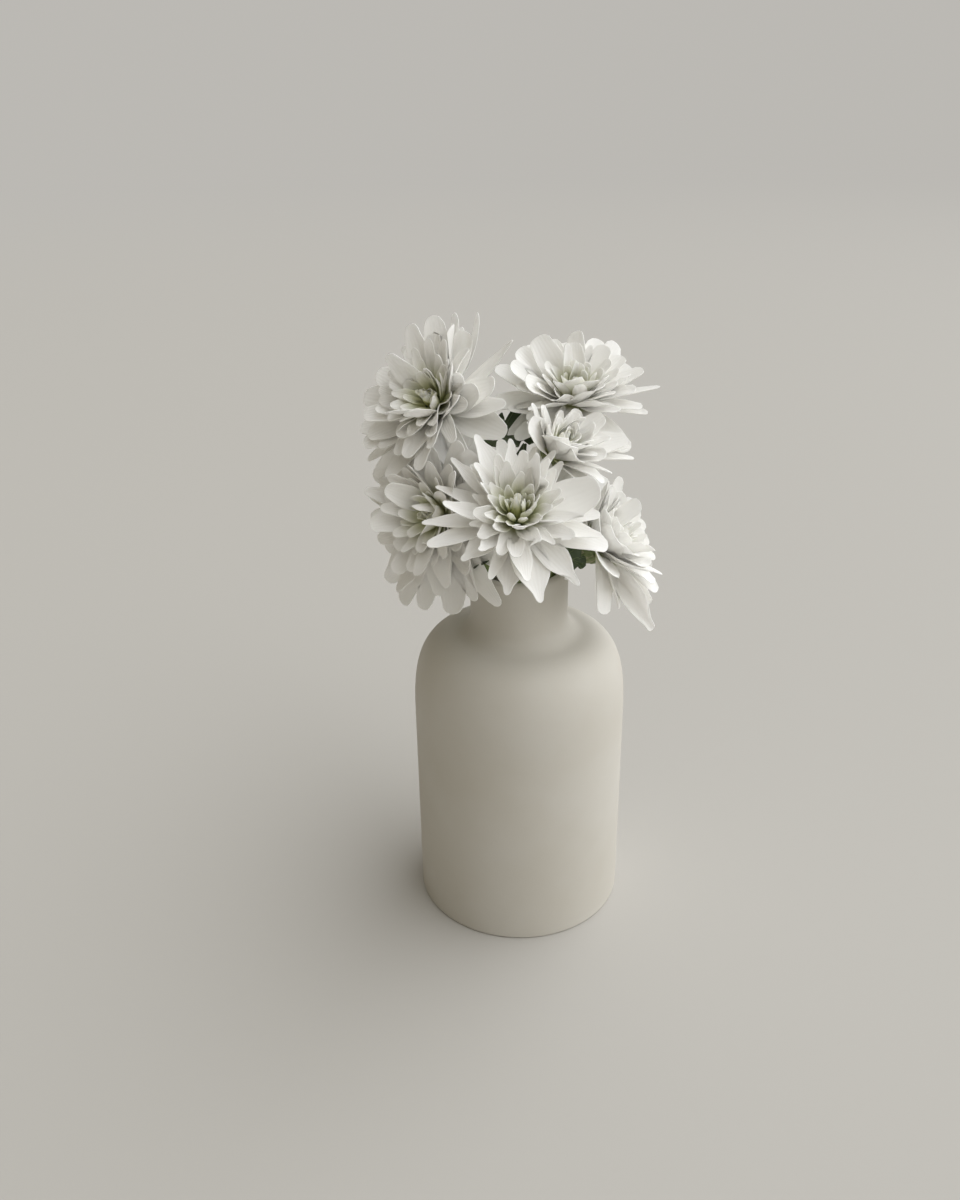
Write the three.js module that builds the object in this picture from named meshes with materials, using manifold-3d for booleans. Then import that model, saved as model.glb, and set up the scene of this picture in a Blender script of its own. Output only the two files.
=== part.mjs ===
// Six cut chrysanthemums in a narrow-necked ceramic vase. Millimetres, +Z up, -Y to the front,
// origin at the middle of the vase's foot.
import * as THREE from "three";
import { mergeVertices } from "three/addons/utils/BufferGeometryUtils.js";
import Module from "manifold-3d";

// ---- Driving dimensions ----

const GAP = 0.35; // air between pieces that rest on each other

const VASE = {
  bodyRadius: 50,
  shoulderStart: 97.5, // height where the straight body ends
  shoulderEnd: 142.5, // height where the neck begins
  squareness: 3.25, // exponent of the shoulder's superellipse
  neckRadius: 22.5,
  shoulderSweep: 82, // degrees of the superellipse before the neck's fillet
  neckFillet: 9,
  filletSlope: 6, // degrees, the shoulder's slope where the fillet takes over
  height: 175,
  wall: 4,
  floor: 6,
  footRounding: 1.2,
  facets: 36,
  steps: { foot: 2, shoulder: 8, fillet: 4, lip: 4, inside: 6, floor: 2 },
};

// A stem stands on the vase's floor, leans out of the way below the neck, touches the neck's
// wall, and bends above the rim into its bloom's axis.
const STEM = { radius: 2.2, sides: 8, steps: 14 };
// Its way up the vase as [distance from the vase's axis, height].
const STEM_WAY = [
  [38, VASE.floor + 1.5],
  [16.6, VASE.shoulderEnd - 8],
  [15.1, VASE.height - 12],
  [15.4, VASE.height + 2],
];
const STEM_TOP = { bend: 6, straight: 2 }; // lengths below the calyx

// The calyx's profile as [radius, height] above the underside of the outer collar.
const CALYX_PROFILE = [
  [0, -9],
  [2.7, -9],
  [4.6, -7.2],
  [7.2, -4],
  [7.8, -GAP],
  [2.6, -GAP],
  [2.4, 5.4],
  [0, 5.4],
];
const EYE_PROFILE = [
  [0, 5.4 + GAP],
  [2.9, 5.4 + GAP],
  [4.3, 8],
  [4.1, 10.4],
  [2.4, 12.2],
  [0, 12.8],
];
const CALYX_FACETS = 12;
const EYE_FACETS = 8;
const COLLAR = { innerRadius: 3, thickness: 1.4 };

// A whorl is a collar with a ring of petals. "height" is the collar's underside, "lift" the
// angle of the petals to the collar's plane where they start, and "curl" what the angle gains
// towards the tip; "phase" turns the whorl by a share of one petal.
const WHORLS = {
  open: {
    outer: { petals: 13, length: 34, width: 10, height: 0, lift: 10, curl: -15, phase: 0 },
    middle: { petals: 11, length: 29, width: 9, height: 2, lift: 32, curl: -8, phase: 0.5 },
    inner: { petals: 8, length: 19, width: 6.5, height: 4, lift: 55, curl: 5, phase: 0.2 },
  },
  cupped: {
    outer: { petals: 13, length: 34, width: 10, height: 0, lift: 24, curl: -12, phase: 0 },
    middle: { petals: 11, length: 29, width: 9, height: 2, lift: 42, curl: -8, phase: 0.5 },
    inner: { petals: 8, length: 19, width: 6.5, height: 4, lift: 60, curl: 5, phase: 0.2 },
  },
  halfOpen: {
    outer: { petals: 9, length: 36, width: 12, height: 0, lift: 40, curl: -6, phase: 0 },
    middle: { petals: 8, length: 29, width: 10, height: 2, lift: 57, curl: -4, phase: 0.5 },
    inner: { petals: 7, length: 17, width: 5.5, height: 4, lift: 70, curl: 4, phase: 0.2 },
  },
};
const PETAL = {
  rootRadius: 5, // where the petals leave the collar
  thickness: 0.9,
  channel: 0.2, // how far the edges stand above the middle, as a share of the width
  fullness: 0.8, // exponent of the width's bulge, less for a blunter petal
  sections: [0.33, 0.66, 0.88], // shares of the length
  widest: 0.6, // share of the length where the petal is widest
};

// Blooms in the order they are placed. "centre" is the middle of the outer collar; "rise" and
// "turn" aim the bloom, in degrees above the horizon and degrees from the front towards +X.
// "neckAngle" is where its stem touches the neck, in degrees from +X.
const BLOOMS = [
  {
    name: "front_bloom",
    form: "open",
    centre: [-2.5, -38, 211.5],
    rise: 50,
    turn: 0,
    size: 1,
    neckAngle: -95,
  },
  {
    name: "right_small_bloom",
    form: "halfOpen",
    centre: [14, -14, 232],
    rise: 50,
    turn: 46,
    size: 0.78,
    neckAngle: 5,
  },
  {
    name: "upper_left_bloom",
    form: "open",
    centre: [-34, 12, 246],
    rise: 38,
    turn: -42,
    size: 1.05,
    neckAngle: 150,
  },
  {
    name: "upper_right_bloom",
    form: "cupped",
    centre: [25, 24, 243],
    rise: 68,
    turn: 12,
    size: 0.98,
    neckAngle: 58,
  },
  {
    name: "lower_left_bloom",
    form: "open",
    centre: [-33, -10, 203.5],
    rise: 18,
    turn: -40,
    size: 1.05,
    neckAngle: 208,
  },
  {
    name: "lower_right_bloom",
    form: "open",
    centre: [33, -8, 187],
    rise: 38,
    turn: 80,
    size: 1,
    neckAngle: -45,
  },
];

// What a petal may do to keep clear of its neighbours, tried in this order: a change of its
// lift in degrees, and a share of its length.
const YIELDS = [
  [0, 1],
  [7, 1],
  [-7, 1],
  [14, 1],
  [-14, 1],
  [21, 1],
  [0, 0.85],
  [12, 0.85],
  [-12, 0.85],
  [24, 0.85],
  [-24, 0.85],
  [32, 0.85],
  [17, 0.85],
  [0, 0.7],
  [15, 0.7],
  [-15, 0.7],
  [30, 0.7],
  [-30, 0.7],
  [42, 0.7],
  [0, 0.5],
  [20, 0.5],
  [-20, 0.5],
  [12, 0.5],
  [0, 0.35],
  [15, 0.35],
];

// Leaves on the stems: the height of their foot, the way they point in degrees from +X, and
// their rise in degrees above the horizon.
const LEAVES = [
  { stem: "front_bloom", height: 186, heading: -165, rise: 10, length: 19 },
  { stem: "front_bloom", height: 190, heading: -20, rise: 12, length: 28 },
  { stem: "lower_right_bloom", height: 179.5, heading: 62, rise: 16, length: 32 },
  { stem: "lower_left_bloom", height: 186, heading: 165, rise: -8, length: 38 },
  { stem: "upper_left_bloom", height: 184, heading: 118, rise: -12, length: 42 },
  { stem: "upper_left_bloom", height: 206, heading: 165, rise: 8, length: 40 },
  { stem: "upper_left_bloom", height: 214, heading: 80, rise: 18, length: 38 },
  { stem: "upper_left_bloom", height: 226, heading: -12, rise: 26, length: 34 },
  { stem: "upper_right_bloom", height: 186, heading: 78, rise: -6, length: 44 },
  { stem: "upper_right_bloom", height: 204, heading: 130, rise: 12, length: 40 },
  { stem: "upper_right_bloom", height: 220, heading: 72, rise: 16, length: 34 },
  { stem: "right_small_bloom", height: 196, heading: 50, rise: 2, length: 38 },
  { stem: "right_small_bloom", height: 208, heading: 95, rise: 14, length: 34 },
];
// The lobed outline as [share of the length, half-width as a share of the length].
const LEAF_OUTLINE = [
  [0, 0.03],
  [0.14, 0.03],
  [0.24, 0.2],
  [0.33, 0.11],
  [0.46, 0.33],
  [0.56, 0.17],
  [0.7, 0.29],
  [0.79, 0.14],
  [0.9, 0.13],
];
const LEAF = { thickness: 0.9, fold: 0.25, droop: -35, clearOfStem: 1.05 };
// What a leaf may do to keep clear: a turn in degrees, a change of its rise, and a share of
// its length.
const LEAF_YIELDS = [1, 0.85, 0.7, 0.55].flatMap((share) =>
  [0, 14, -14, 28, -28, 42, -42].flatMap((turn) =>
    [0, 12, -12, 24, -24].map((rise) => [turn, rise, share]),
  ),
);

const CERAMIC = { color: 0xd9d4c8, roughness: 0.75 };
const STEM_GREEN = { color: 0x6f7d4a, roughness: 0.7 };
const CALYX_GREEN = { color: 0x5f7040, roughness: 0.75 };
const PETAL_WHITE = { color: 0xf2f0e8, roughness: 0.6 };
const EYE_GREEN = { color: 0xb9bd7a, roughness: 0.7 };
const LEAF_GREEN = { color: 0x33401f, roughness: 0.65 };

// ---- Making and testing solids ----

const wasm = await Module();
wasm.setup();
const { degToRad } = THREE.MathUtils;

// The points and faces of one closed surface, faces anticlockwise from outside.
class Surface {
  points = [];
  faces = [];

  point([x, y, z]) {
    this.points.push(x, y, z);
    return this.points.length / 3 - 1;
  }

  loop(points) {
    return points.map((p) => this.point(p));
  }

  triangle(a, b, c) {
    this.faces.push(a, b, c);
  }

  quad(a, b, c, d) {
    this.triangle(a, b, c);
    this.triangle(a, c, d);
  }

  band(from, to) {
    from.forEach((a, i) => {
      const next = (i + 1) % from.length;
      this.quad(a, from[next], to[next], to[i]);
    });
  }

  fan(loop, tip) {
    loop.forEach((a, i) => this.triangle(a, loop[(i + 1) % loop.length], tip));
  }

  geometry() {
    const geometry = new THREE.BufferGeometry();
    geometry.setAttribute("position", new THREE.Float32BufferAttribute(this.points, 3));
    geometry.setIndex(this.faces);
    return geometry;
  }
}

// A closed geometry, placed by a matrix, as a solid that can be tested against others.
function solid(geometry, matrix) {
  const bare = geometry.clone();
  bare.deleteAttribute("normal");
  bare.deleteAttribute("uv");
  bare.applyMatrix4(matrix);
  const merged = mergeVertices(bare, 1e-3);
  return new wasm.Manifold(
    new wasm.Mesh({
      numProp: 3,
      vertProperties: merged.attributes.position.array,
      triVerts: new Uint32Array(merged.index.array),
    }),
  );
}

const placed = []; // each placed piece's solid, with the bloom and whorl that it belongs to

function touches(candidate, ignored) {
  return placed.some(
    (other) => !ignored(other) && !other.solid.intersect(candidate).isEmpty(),
  );
}

function mesh(name, geometry, finish) {
  const flat = geometry.index ? geometry.toNonIndexed() : geometry;
  flat.computeVertexNormals();
  const made = new THREE.Mesh(flat, new THREE.MeshStandardMaterial(finish));
  made.name = name;
  return made;
}

// A turned shape from a profile of [radius, height] points, with +Z as its axis.
function turned(profile, facets, scale = 1) {
  const points = profile.map(([r, h]) => new THREE.Vector2(r * scale, h * scale));
  return new THREE.LatheGeometry(points, facets).rotateX(Math.PI / 2);
}

// ---- Vase ----

function vaseGeometry() {
  const v = VASE;
  const arc = (from, to, steps, point) =>
    Array.from({ length: steps + 1 }, (_, i) => {
      const angle = degToRad(THREE.MathUtils.lerp(from, to, i / steps));
      return point(Math.cos(angle), Math.sin(angle));
    });
  const shoulder = (neck, body, rise) => (c, s) => [
    neck + (body - neck) * c ** (2 / v.squareness),
    v.shoulderStart + rise * s ** (2 / v.squareness),
  ];
  const neckInside = v.neckRadius - v.wall;
  const bodyInside = v.bodyRadius - v.wall;
  const rise = v.shoulderEnd - v.shoulderStart;
  const lip = v.wall / 2;
  const { steps } = v;
  const outside = shoulder(v.neckRadius, v.bodyRadius, rise);
  const outerShoulder = arc(0, v.shoulderSweep, steps.shoulder, outside);
  const filletHeight = outerShoulder.at(-1)[1] + v.neckFillet * Math.cos(degToRad(v.filletSlope));
  return turned(
    [
      [0, 0],
      ...arc(-90, 0, steps.foot, (c, s) => [
        v.bodyRadius + v.footRounding * (c - 1),
        v.footRounding * (s + 1),
      ]),
      ...outerShoulder.slice(0, -1), // its last point is the fillet's first
      ...arc(-90 - v.filletSlope, -180, steps.fillet, (c, s) => [
        v.neckRadius + v.neckFillet * (c + 1),
        filletHeight + v.neckFillet * s,
      ]),
      ...arc(0, 180, steps.lip, (c, s) => [
        v.neckRadius - lip + lip * c,
        v.height - lip + lip * s,
      ]),
      ...arc(90, 0, steps.inside, shoulder(neckInside, bodyInside, rise - v.wall)),
      ...arc(0, -90, steps.floor, (c, s) => [
        bodyInside + v.wall * (c - 1),
        v.floor + v.wall * (s + 1),
      ]),
      [0, v.floor],
    ],
    v.facets,
  );
}

// ---- Blooms ----

// A bloom's own frame: +Z out of its face, +X down its face.
function bloomMatrix({ centre, rise, turn }) {
  const [up, across] = [degToRad(rise), degToRad(turn)];
  const axis = new THREE.Vector3(
    Math.cos(up) * Math.sin(across),
    -Math.cos(up) * Math.cos(across),
    Math.sin(up),
  );
  const down = new THREE.Vector3(0, 0, -1).addScaledVector(axis, axis.z).normalize();
  const side = new THREE.Vector3().crossVectors(axis, down);
  return new THREE.Matrix4().makeBasis(down, side, axis).setPosition(...centre);
}

// Half the petal's width at a share of its length.
function petalHalfWidth(whorl, share) {
  const bulge = Math.sin(Math.PI * share ** (Math.log(0.5) / Math.log(PETAL.widest)));
  const claw = (Math.PI * PETAL.rootRadius) / whorl.petals;
  return (whorl.width / 2) * bulge ** PETAL.fullness + claw * (1 - share) ** 2;
}

// One petal's cross-sections, each as right edge, top, left edge and bottom, and its tip.
function petalShape(whorl, petal, size, skin = 0) {
  const azimuth = ((petal.index + whorl.phase) / whorl.petals) * 2 * Math.PI;
  const start = degToRad(petal.lift);
  const curl = degToRad(whorl.curl);
  const at = (share, across, above) => {
    const angle = start + curl * share;
    const run = (petal.length * (Math.sin(angle) - Math.sin(start))) / curl;
    const climb = (petal.length * (Math.cos(start) - Math.cos(angle))) / curl;
    const radius = PETAL.rootRadius + run - above * Math.sin(angle);
    const height = whorl.height + COLLAR.thickness / 2 + climb + above * Math.cos(angle);
    return [
      radius * Math.cos(azimuth) - across * Math.sin(azimuth),
      radius * Math.sin(azimuth) + across * Math.cos(azimuth),
      height,
    ].map((value) => value * size);
  };
  const half = PETAL.thickness / 2 + skin;
  const sections = PETAL.sections.map((share) => {
    const wide = petalHalfWidth(whorl, share);
    const edge = PETAL.channel * wide * 2;
    return [
      at(share, wide + skin, edge),
      at(share, 0, half),
      at(share, -wide - skin, edge),
      at(share, 0, -half),
    ];
  });
  return { azimuth, sections, tip: at(1 + skin / petal.length, 0, PETAL.thickness) };
}

// The points where a petal leaves its collar, in the order of its cross-sections.
function petalRoot(whorl, azimuth, size) {
  const halfPitch = Math.PI / whorl.petals;
  const ring = (angle, height) => [
    PETAL.rootRadius * size * Math.cos(angle),
    PETAL.rootRadius * size * Math.sin(angle),
    (whorl.height + height) * size,
  ];
  return [
    ring(azimuth + halfPitch, COLLAR.thickness / 2),
    ring(azimuth, COLLAR.thickness),
    ring(azimuth - halfPitch, COLLAR.thickness / 2),
    ring(azimuth, 0),
  ];
}

// A single petal as a closed blade, a little fat, for testing what it would touch.
function petalProbe(whorl, petal, size) {
  const blade = new Surface();
  const { azimuth, sections, tip } = petalShape(whorl, petal, size, GAP);
  const loops = [petalRoot(whorl, azimuth, size), ...sections].map((s) => blade.loop(s));
  loops.slice(1).forEach((loop, i) => blade.band(loops[i], loop));
  blade.fan(loops.at(-1), blade.point(tip));
  blade.quad(...loops[0].toReversed());
  return blade.geometry();
}

// Places a whorl's petals one by one, each yielding to what is there already.
function settlePetals(bloom, part, matrix) {
  const whorl = WHORLS[bloom.form][part];
  return Array.from({ length: whorl.petals }, (_, index) => {
    const others = (other) => other.bloom === bloom.name && other.part === part;
    for (const [turn, share] of YIELDS) {
      const petal = { index, lift: whorl.lift + turn, length: whorl.length * share };
      const probe = solid(petalProbe(whorl, petal, bloom.size), matrix);
      if (touches(probe, others)) continue;
      placed.push({ solid: probe, bloom: bloom.name, part });
      return petal;
    }
    throw new Error(`no room for petal ${index} of ${bloom.name}'s ${part} whorl`);
  });
}

// A whorl as one closed surface: a collar whose outer wall opens into the petals.
function whorlGeometry(bloom, part, petals) {
  const whorl = WHORLS[bloom.form][part];
  const { size } = bloom;
  const made = new Surface();
  const roots = petals.map((petal) => {
    const { azimuth, sections, tip } = petalShape(whorl, petal, size);
    const [, top, left, bottom] = made.loop(petalRoot(whorl, azimuth, size));
    const inner = [whorl.height + COLLAR.thickness, whorl.height].map((height) =>
      made.point([
        COLLAR.innerRadius * size * Math.cos(azimuth),
        COLLAR.innerRadius * size * Math.sin(azimuth),
        height * size,
      ]),
    );
    return { top, left, bottom, inner, sections, tip };
  });
  roots.forEach((root, i) => {
    const next = roots[(i + 1) % roots.length];
    const loops = [
      [next.left, root.top, root.left, root.bottom],
      ...root.sections.map((section) => made.loop(section)),
    ];
    loops.slice(1).forEach((loop, k) => made.band(loops[k], loop));
    made.fan(loops.at(-1), made.point(root.tip));
    made.triangle(next.left, next.top, root.top);
    made.triangle(next.left, root.bottom, next.bottom);
    made.quad(root.top, next.top, next.inner[0], root.inner[0]);
    made.quad(next.bottom, root.bottom, root.inner[1], next.inner[1]);
    made.quad(root.inner[0], next.inner[0], next.inner[1], root.inner[1]);
  });
  return made.geometry();
}

// ---- Stems ----

function stemPath(bloom, matrix) {
  const angle = degToRad(bloom.neckAngle);
  const outwards = (distance, height) =>
    new THREE.Vector3(Math.cos(angle) * distance, Math.sin(angle) * distance, height);
  const below = (distance) => new THREE.Vector3(0, 0, -distance).applyMatrix4(matrix);
  const base = -CALYX_PROFILE[0][1] * bloom.size + GAP;
  return new THREE.CatmullRomCurve3(
    [
      ...STEM_WAY.map(([distance, height]) => outwards(distance, height)),
      below(base + STEM_TOP.bend * bloom.size),
      below(base + STEM_TOP.straight),
      below(base),
    ],
    false,
    "centripetal",
  );
}

function stemGeometry(path) {
  const round = new THREE.Shape().absarc(0, 0, STEM.radius, 0, 2 * Math.PI);
  return new THREE.ExtrudeGeometry(round, {
    extrudePath: path,
    steps: STEM.steps,
    curveSegments: STEM.sides / 2,
    bevelEnabled: false,
  });
}

// ---- Leaves ----

// A leaf's frame: +X along the leaf, +Z out of its upper side, foot against the stem.
function leafMatrix(path, leaf) {
  const steps = 200;
  const foot = path.getPoints(steps).find((point) => point.z >= leaf.height);
  const heading = degToRad(leaf.heading);
  const rise = degToRad(leaf.rise);
  const level = new THREE.Vector3(Math.cos(heading), Math.sin(heading), 0);
  const along = level.clone().multiplyScalar(Math.cos(rise));
  along.z = Math.sin(rise);
  const side = new THREE.Vector3(-level.y, level.x, 0);
  const up = new THREE.Vector3().crossVectors(along, side);
  foot.addScaledVector(along, (STEM.radius + LEAF.clearOfStem) / Math.cos(rise));
  return new THREE.Matrix4().makeBasis(along, side, up).setPosition(foot);
}

function leafGeometry(length, skin = 0) {
  const droop = degToRad(LEAF.droop);
  const at = (share, across, above) => {
    const angle = droop * share;
    const x = (length * Math.sin(angle)) / droop - above * Math.sin(angle);
    const z = (length * (1 - Math.cos(angle))) / droop + above * Math.cos(angle);
    return [x, across, z];
  };
  const half = LEAF.thickness / 2 + skin;
  const blade = new Surface();
  const loops = LEAF_OUTLINE.map(([share, width]) => {
    const wide = width * length + skin;
    const edge = LEAF.fold * wide;
    return blade.loop([
      at(share, wide, edge),
      at(share, 0, half),
      at(share, -wide, edge),
      at(share, 0, -half),
    ]);
  });
  loops.slice(1).forEach((loop, i) => blade.band(loops[i], loop));
  blade.fan(loops.at(-1), blade.point(at(1 + skin / length, 0, 0)));
  blade.quad(...loops[0].toReversed());
  return blade.geometry();
}

// Turns, tilts or shortens a leaf until it is clear of everything placed before it.
function settleLeaf(path, leaf) {
  for (const [turn, rise, share] of LEAF_YIELDS) {
    const moved = {
      ...leaf,
      heading: leaf.heading + turn,
      rise: leaf.rise + rise,
      length: leaf.length * share,
    };
    const matrix = leafMatrix(path, moved);
    const probe = solid(leafGeometry(moved.length, GAP), matrix);
    if (!touches(probe, () => false)) return { matrix, length: moved.length };
  }
  throw new Error(`no room for the leaf at ${leaf.height} on ${leaf.stem}'s stem`);
}

// ---- The whole bouquet ----

const bouquet = new THREE.Group();
bouquet.name = "chrysanthemums_in_a_vase";

function place(group, name, geometry, finish, owner) {
  const piece = mesh(name, geometry, finish);
  group.add(piece);
  placed.push({ solid: solid(piece.geometry, group.matrix), ...owner });
}

place(bouquet, "vase", vaseGeometry(), CERAMIC, {});

const heads = BLOOMS.map((bloom) => {
  const head = new THREE.Group();
  head.applyMatrix4(bloomMatrix(bloom));
  head.updateMatrix();
  bouquet.add(head);
  const { name, size } = bloom;
  const path = stemPath(bloom, head.matrix);
  place(head, `${name}_calyx`, turned(CALYX_PROFILE, CALYX_FACETS, size), CALYX_GREEN, { bloom: name });
  place(head, `${name}_eye`, turned(EYE_PROFILE, EYE_FACETS, size), EYE_GREEN, { bloom: name });
  place(bouquet, `${name}_stem`, stemGeometry(path), STEM_GREEN, { bloom: name });
  return { bloom, head, path };
});

// The crowded hearts keep their shape, then the leaves, and the outer petals yield to both.
function placeWhorls(part) {
  for (const { bloom, head } of heads) {
    const petals = settlePetals(bloom, part, head.matrix);
    const name = `${bloom.name}_${part}_petals`;
    head.add(mesh(name, whorlGeometry(bloom, part, petals), PETAL_WHITE));
  }
}

placeWhorls("inner");
placeWhorls("middle");
LEAVES.forEach((leaf, i) => {
  const { path } = heads.find(({ bloom }) => bloom.name === leaf.stem);
  const { matrix, length } = settleLeaf(path, leaf);
  const holder = new THREE.Group();
  holder.applyMatrix4(matrix);
  holder.updateMatrix();
  bouquet.add(holder);
  place(holder, `leaf_${i + 1}`, leafGeometry(length), LEAF_GREEN, {});
});
placeWhorls("outer");

export default bouquet;
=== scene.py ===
import bpy
import bmesh
import math
import random
import numpy as np
from mathutils import Euler, Matrix, Vector
from mathutils.bvhtree import BVHTree


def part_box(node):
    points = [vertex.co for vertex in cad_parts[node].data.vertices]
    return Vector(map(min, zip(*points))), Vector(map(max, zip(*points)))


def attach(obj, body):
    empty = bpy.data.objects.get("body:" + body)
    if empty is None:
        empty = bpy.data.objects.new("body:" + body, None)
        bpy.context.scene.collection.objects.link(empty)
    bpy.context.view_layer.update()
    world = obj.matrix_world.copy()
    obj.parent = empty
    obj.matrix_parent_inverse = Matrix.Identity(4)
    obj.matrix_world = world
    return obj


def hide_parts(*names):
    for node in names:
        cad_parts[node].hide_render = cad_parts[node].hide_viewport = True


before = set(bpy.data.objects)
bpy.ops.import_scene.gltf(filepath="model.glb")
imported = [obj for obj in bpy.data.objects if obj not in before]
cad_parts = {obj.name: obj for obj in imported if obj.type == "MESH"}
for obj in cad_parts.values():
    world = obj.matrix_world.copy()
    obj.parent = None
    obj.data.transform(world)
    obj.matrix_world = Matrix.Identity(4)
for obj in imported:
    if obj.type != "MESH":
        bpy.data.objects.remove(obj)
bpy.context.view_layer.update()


# ---- Camera ----
# A slightly wide lens at arm's length, looking down on the bunch.

CAMERA_AT = Vector((-0.01805, -0.45095, 0.37159))
CAMERA_PITCH = math.radians(-25.386)
CAMERA_ROLL = math.radians(-0.926)
CAMERA_SENSOR = 36  # in millimetres, as the lens is
CAMERA_LENS = 32.4
CAMERA_NEAREST = 0.01

camera_data = bpy.data.cameras.new("camera")
camera_data.sensor_width = CAMERA_SENSOR
camera_data.lens = CAMERA_LENS
camera_data.clip_start = CAMERA_NEAREST
camera = bpy.data.objects.new("camera", camera_data)
bpy.context.scene.collection.objects.link(camera)
aim = Euler((math.radians(90) + CAMERA_PITCH, 0, 0)).to_matrix()
camera.matrix_world = (aim @ Matrix.Rotation(CAMERA_ROLL, 3, "Z")).to_4x4()
camera.location = CAMERA_AT
bpy.context.scene.camera = camera
bpy.context.scene.view_settings.view_transform = "Standard"


# ---- Table top and light ----
# A plain pale table top that fades into a plain backdrop, and the soft light of one big window
# high on the right, with warm weak light coming back from the left of the room.

TABLE_RADIUS = 40
TABLE_CORNERS = 96
TABLE_COLOUR = (0.53, 0.512, 0.478, 1)
TABLE_DARKER = 0.97  # its darker clouds, as a share of its colour
TABLE_CLOUDS = [0.3, 0.7]  # where the darker ones start and are full
WINDOW_TURN = math.radians(93)  # from the front towards the right
WINDOW_RISE = math.radians(38)
WINDOW_SPREAD = math.radians(100)
WINDOW_STRENGTH = 2.35
WINDOW_COLOUR = (0.97, 0.985, 1)
ROOM_BRIGHTEST = (0.7, 0, 0.7)  # towards the window and the ceiling
ROOM_TONES = [
    (0.1, (0.095, 0.07, 0.03, 1)),
    (0.5, (0.27, 0.243, 0.18, 1)),
    (0.95, (0.78, 0.785, 0.79, 1)),
]
BACKDROP_COLOUR = (0.5, 0.485, 0.455, 1)  # as the lit table top, which so has no visible edge
BACKDROP_FADE = (0.5, 5)  # over which the table top turns into the backdrop


def add_node(tree, kind, inputs=None, **settings):
    """A shader node with its settings. An input is a number, a colour or a node's output."""
    made = tree.nodes.new(kind)
    for name, value in settings.items():
        setattr(made, name, value)
    for name, value in (inputs or {}).items():
        socket = made.inputs[name]
        if isinstance(value, bpy.types.NodeSocket):
            tree.links.new(value, socket)
        else:
            socket.default_value = value
    return made


def add_ramp(tree, share, stops):
    """A colour ramp with its stops as (place, colour)."""
    ramp = add_node(tree, "ShaderNodeValToRGB", {"Fac": share})
    elements = ramp.color_ramp.elements
    while len(elements) < len(stops):
        elements.new(0.5)
    for element, (place, colour) in zip(elements, stops):
        element.position = place
        element.color = colour
    return ramp.outputs["Color"]


def object_place(tree):
    """The point that is shaded, in the model's frame."""
    return add_node(tree, "ShaderNodeTexCoord").outputs["Object"]


def map_range(tree, value, start, end, low=0.0, high=1.0, **settings):
    """What goes from low to high as the value goes from start to end."""
    inputs = {"Value": value, "From Min": start, "From Max": end, "To Min": low, "To Max": high}
    return add_node(tree, "ShaderNodeMapRange", inputs, **settings).outputs["Result"]


def mix_colours(tree, share, first, second):
    """The first colour where the share is 0 and the second where it is 1."""
    inputs = {"Factor": share, "A": first, "B": second}
    return add_node(tree, "ShaderNodeMix", inputs, data_type="RGBA").outputs["Result"]


def new_material(name, **constants):
    """A material and its shader, with what is the same all over set on the shader's sockets."""
    material = bpy.data.materials.new(name)
    material.use_nodes = True
    tree = material.node_tree
    shader = tree.nodes["Principled BSDF"]
    for socket, value in constants.items():
        shader.inputs[socket.replace("_", " ")].default_value = value
    return material, tree, shader


def new_piece(name, shape, material):
    """A finished object at the origin from a bmesh in the model's own frame."""
    mesh = bpy.data.meshes.new(name)
    shape.to_mesh(mesh)
    shape.free()
    mesh.materials.append(material)
    piece = bpy.data.objects.new(name, mesh)
    bpy.context.scene.collection.objects.link(piece)
    return piece


table_material, tree, shader = new_material("table_top", Roughness=0.7)
clouds = add_node(tree, "ShaderNodeTexNoise", {"Scale": 9.0, "Detail": 4.0}).outputs["Fac"]
table_tones = [TABLE_COLOUR, tuple(TABLE_DARKER * c for c in TABLE_COLOUR[:3]) + (1,)]
table_colour = add_ramp(tree, clouds, list(zip(TABLE_CLOUDS, table_tones)))
tree.links.new(table_colour, shader.inputs["Base Color"])
from_vase = add_node(tree, "ShaderNodeVectorMath", {0: object_place(tree)}, operation="LENGTH")
far_off = map_range(
    tree, from_vase.outputs["Value"], *BACKDROP_FADE, interpolation_type="SMOOTHSTEP"
)
backdrop = add_node(tree, "ShaderNodeEmission", {"Color": BACKDROP_COLOUR})
faded = add_node(
    tree,
    "ShaderNodeMixShader",
    {"Fac": far_off, 1: shader.outputs["BSDF"], 2: backdrop.outputs["Emission"]},
)
tree.links.new(faded.outputs["Shader"], tree.nodes["Material Output"].inputs["Surface"])
table_shape = bmesh.new()
bmesh.ops.create_circle(
    table_shape, cap_ends=True, segments=TABLE_CORNERS, radius=TABLE_RADIUS
)
new_piece("table_top", table_shape, table_material)

window = bpy.data.lights.new("window", "SUN")
window.energy = WINDOW_STRENGTH
window.angle = WINDOW_SPREAD
window.color = WINDOW_COLOUR
window_object = bpy.data.objects.new("window", window)
bpy.context.scene.collection.objects.link(window_object)
from_window = Vector(
    (
        math.cos(WINDOW_RISE) * math.sin(WINDOW_TURN),
        -math.cos(WINDOW_RISE) * math.cos(WINDOW_TURN),
        math.sin(WINDOW_RISE),
    )
)
window_object.rotation_euler = from_window.to_track_quat("Z", "Y").to_euler()

room = bpy.data.worlds.new("room")
room.use_nodes = True
bpy.context.scene.world = room
tree = room.node_tree
ray = add_node(tree, "ShaderNodeTexCoord")
towards_window = add_node(
    tree,
    "ShaderNodeVectorMath",
    {0: ray.outputs["Generated"], 1: ROOM_BRIGHTEST},
    operation="DOT_PRODUCT",
)
across_room = map_range(tree, towards_window.outputs["Value"], -1.0, 1.0)
walls = add_ramp(tree, across_room, ROOM_TONES)
seen = add_node(tree, "ShaderNodeLightPath").outputs["Is Camera Ray"]
room_colour = mix_colours(tree, seen, walls, BACKDROP_COLOUR)
tree.links.new(room_colour, tree.nodes["Background"].inputs["Color"])


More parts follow.
